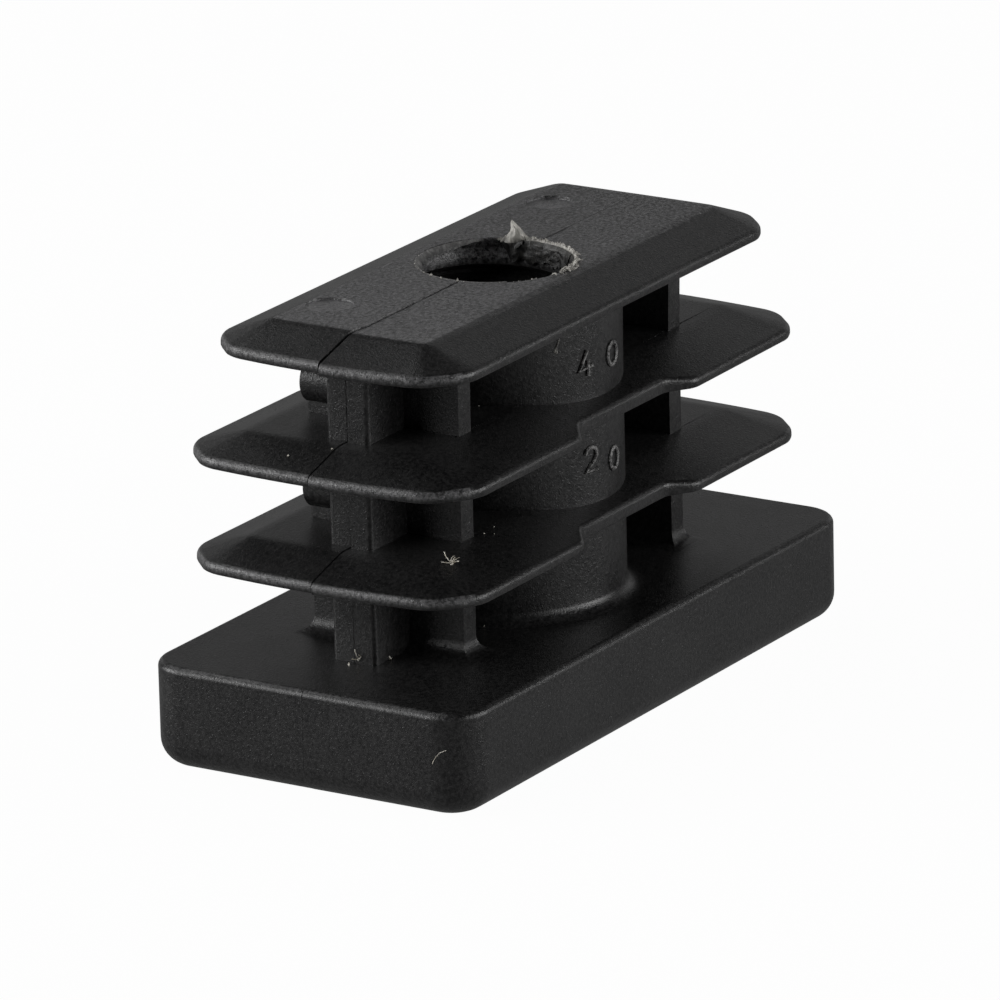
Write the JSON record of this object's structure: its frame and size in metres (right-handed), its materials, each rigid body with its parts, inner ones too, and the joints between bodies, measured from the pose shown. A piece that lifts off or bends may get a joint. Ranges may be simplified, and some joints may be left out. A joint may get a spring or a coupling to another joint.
{
  "type": "threaded tube end cap",
  "caption": "Rectangular plastic plug that closes the end of a tube, with a thick head, thin gripping fins on a ribbed core and a threaded hole for a levelling foot.",
  "frame": {"origin": "centre of the head's underside, on the thread's axis", "axes": "+Z along the thread, from the head to the fins; +X along the head's length; +Y across it"},
  "size_m": [0.04, 0.02, 0.0239],
  "materials": {
    "end_cap": "black moulded polyethylene with a fine grain"
  },
  "bodies": {
    "root": {"end_cap": "end_cap"}
  },
  "joints": []
}
